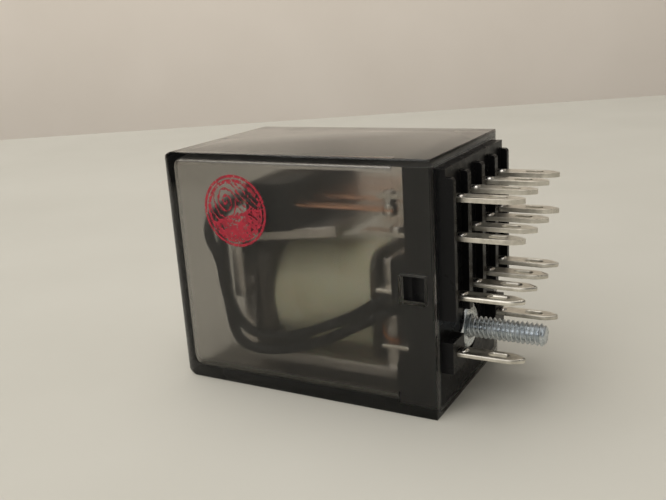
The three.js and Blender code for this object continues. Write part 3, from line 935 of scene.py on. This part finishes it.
def join_diagonals(inked):
    """Fills a cell wherever two inked cells meet only at a corner, so that no edge has four faces."""
    grew = True
    while grew:
        grew = False
        for i, j in sorted(inked):
            for step in (1, -1):
                meets = (i + 1, j + step) in inked
                if meets and (i + 1, j) not in inked and (i, j + step) not in inked:
                    inked.add((i + 1, j))
                    grew = True


def make_stamp():
    """Thin film of ink on the near side of the cover, built from small cells."""
    size = 2 * STAMP_RADIUS / STAMP_CELLS
    y = -half_width + 0.008 * MM
    thickness = 0.006 * MM
    bm = bmesh.new()
    corners = {}

    def corner(i, j):
        if (i, j) not in corners:
            u = -STAMP_RADIUS + i * size
            v = -STAMP_RADIUS + j * size
            place = point(STAMP_CENTRE[0] + u, 0, STAMP_CENTRE[1] + v)
            corners[(i, j)] = bm.verts.new((place.x, y, place.z))
        return corners[(i, j)]

    inked = set()
    for i in range(STAMP_CELLS):
        for j in range(STAMP_CELLS):
            u = -STAMP_RADIUS + (i + 0.5) * size
            v = -STAMP_RADIUS + (j + 0.5) * size
            if stamp_inked(u, v):
                inked.add((i, j))
    join_diagonals(inked)
    for i, j in sorted(inked):
        bm.faces.new((corner(i, j), corner(i + 1, j), corner(i + 1, j + 1), corner(i, j + 1)))
    made = bmesh.ops.extrude_face_region(bm, geom=bm.faces[:])
    for item in made["geom"]:
        if isinstance(item, bmesh.types.BMVert):
            item.co.y -= thickness
    stamp = new_object("inspection_stamp", mesh_from(bm, "inspection_stamp"), RED_INK)
    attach(stamp, "root")


# ---- Blades ------------------------------------------------------------------------------

BLADES = [name for name in frame["nodes"] if name.startswith("blade_")]
BUMP_PLACE = 35.85
BUMP_RADII = (0.50, 0.62, 0.24)
BUMP_SINK = 0.05 * MM
POINT_LENGTH = 1.2 * MM
SHOULDER_ROUNDING = 0.45 * MM
TIP_SHARE = 0.45


def make_root_domes_with_highlight():
    """A small dome raised on each blade where it leaves the base, in a brighter silver than the
    blade: the dome is a real raised shape, its brighter colour a painted highlight.
    """
    for name in BLADES:
        low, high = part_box(name)
        bm = bmesh.new()
        bmesh.ops.create_uvsphere(bm, u_segments=28, v_segments=16, radius=1)
        middle = Vector((along(BUMP_PLACE), (low.y + high.y) / 2, high.z - BUMP_SINK))
        for vertex in bm.verts:
            stretched = Vector(a * b for a, b in zip(BUMP_RADII, vertex.co))
            vertex.co = middle + stretched * MM
        mesh = mesh_from(bm, f"{name}_bump")
        # Brighter, shinier silver than the tin blade: a painted highlight at the blade's root.
        bump = new_object(f"{name}_bump", mesh, MATERIALS["contact_silver"])
        smooth(bump, 80)
        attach(bump, "root")


def round_blade_tip(blade):
    """Rounds the four upright edges of a blade's pointed end, between the modifiers of bevel()."""
    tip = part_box(blade.name)[1].x
    tiny = 0.01 * MM
    weights = blade.data.attributes.new("bevel_weight_edge", "FLOAT", "EDGE")
    for edge in blade.data.edges:
        a, b = (blade.data.vertices[i].co for i in edge.vertices)
        upright = abs(a.z - b.z) > tiny and (a.xy - b.xy).length < tiny
        if upright and a.x > tip - tiny:
            weights.data[edge.index].value = TIP_SHARE
        elif upright and abs(a.x - tip + POINT_LENGTH) < tiny:
            weights.data[edge.index].value = 1.0
    rounding = blade.modifiers.new("tip_rounding", "BEVEL")
    rounding.width = SHOULDER_ROUNDING
    rounding.segments = 4
    rounding.limit_method = "WEIGHT"
    blade.modifiers.move(len(blade.modifiers) - 1, blade.modifiers.find("rounding"))


# ---- CAD nodes that stay -----------------------------------------------------------------

# Rounding of the edges in millimetres, for the materials of the nodes that are not replaced.
EDGE_ROUNDING = {
    "black_moulding": 0.10,
    "tin_plate": 0.17,
    "plated_steel": 0.12,
    "copper_alloy": 0.04,
    "contact_silver": 0.08,
    "phenolic": 0.15,
    "copper_wire": 0.05,
}


def finish_nodes():
    """Gives every CAD node its material, and those that still show small rounded edges."""
    slots = {part["node"]: part["material_slot"] for part in frame["record"]["subparts"]}
    for name, node in frame["nodes"].items():
        slot = slots[name]
        node.data.materials.clear()
        node.data.materials.append(MATERIALS[slot])
        if node.hide_render:
            continue
        bevel(node, EDGE_ROUNDING[slot])
        if name in BLADES:
            round_blade_tip(node)


# ---- Surroundings ------------------------------------------------------------------------

TABLE_EDGE = Vector((-0.0052, 0.2955, 0))
TABLE_TURN = math.radians(30.9)
WALL_DISTANCE = 0.5
WALL_THICKNESS = 0.05


def behind(along_edge, past_edge, height):
    """A place by its distance along the table's far edge, past it, and above the table."""
    turn = Matrix.Rotation(TABLE_TURN, 4, "Z")
    return TABLE_EDGE + turn @ Vector((along_edge, past_edge, height))


def make_stage():
    """Pale table with a straight far edge, and a pale wall behind it."""
    floor_material = paper_material("floor", (0.60, 0.58, 0.515), (0.64, 0.62, 0.555), 0.02)
    wall_material = paper_material("wall", (0.70, 0.635, 0.55), (0.74, 0.675, 0.59), 0.01)
    air_gap = 0.03 * MM
    floor = box_object("floor", Vector((-2, -2, -0.02)), Vector((2, 0, -air_gap)), floor_material)
    wall_low = Vector((-3, WALL_DISTANCE, -1.5))
    wall_high = Vector((3, WALL_DISTANCE + WALL_THICKNESS, 1.5))
    wall = box_object("wall", wall_low, wall_high, wall_material)
    for piece in (floor, wall):
        piece.data.transform(Matrix.Translation(TABLE_EDGE) @ Matrix.Rotation(TABLE_TURN, 4, "Z"))


def area_light(name, place, target, size, power, color):
    """A soft rectangular lamp at a place, facing a target. Metres and watts."""
    data = bpy.data.lights.new(name, "AREA")
    data.shape = "RECTANGLE"
    data.size, data.size_y = size
    data.energy = power
    data.color = color
    light = bpy.data.objects.new(name, data)
    bpy.context.collection.objects.link(light)
    light.location = place
    light.rotation_mode = "QUATERNION"
    light.rotation_quaternion = (Vector(target) - Vector(place)).to_track_quat("-Z", "Y")


def make_lights():
    """A large lamp overhead, weak ones in front and at the right, and one low before the wall."""
    foot = (0, 0, 0)
    low_middle = (0, 0, 0.02)
    area_light("key", (-0.14, -0.08, 0.72), foot, (1.0, 1.0), 5.6, (1.0, 0.98, 0.94))
    area_light("front_fill", (-0.15, -0.60, 0.34), low_middle, (0.7, 0.4), 1.6, (1.0, 0.98, 0.95))
    area_light("right_glow", (0.75, 0.35, 0.35), low_middle, (0.5, 0.4), 0.3, (1.0, 0.97, 0.93))
    glow_place = behind(-0.4, 0.10, 0.05)
    glow_target = behind(-0.4, WALL_DISTANCE, 0.30)
    area_light("wall_glow", glow_place, glow_target, (2.0, 0.15), 2.1, (1.0, 0.96, 0.92))
    world = bpy.data.worlds.new("world")
    bpy.context.scene.world = world
    world.use_nodes = True
    background = world.node_tree.nodes["Background"]
    background.inputs["Color"].default_value = (1.0, 0.97, 0.92, 1)
    background.inputs["Strength"].default_value = 0.13


# ---- Build -------------------------------------------------------------------------------

bpy.context.scene.view_settings.view_transform = "Standard"
make_camera()
make_stage()
make_lights()
make_cover()
make_stud()
make_nut()
make_return_spring()
make_tape()
make_flex_leads()
make_coil_leads()
make_stamp()
make_root_domes_with_highlight()
finish_nodes()
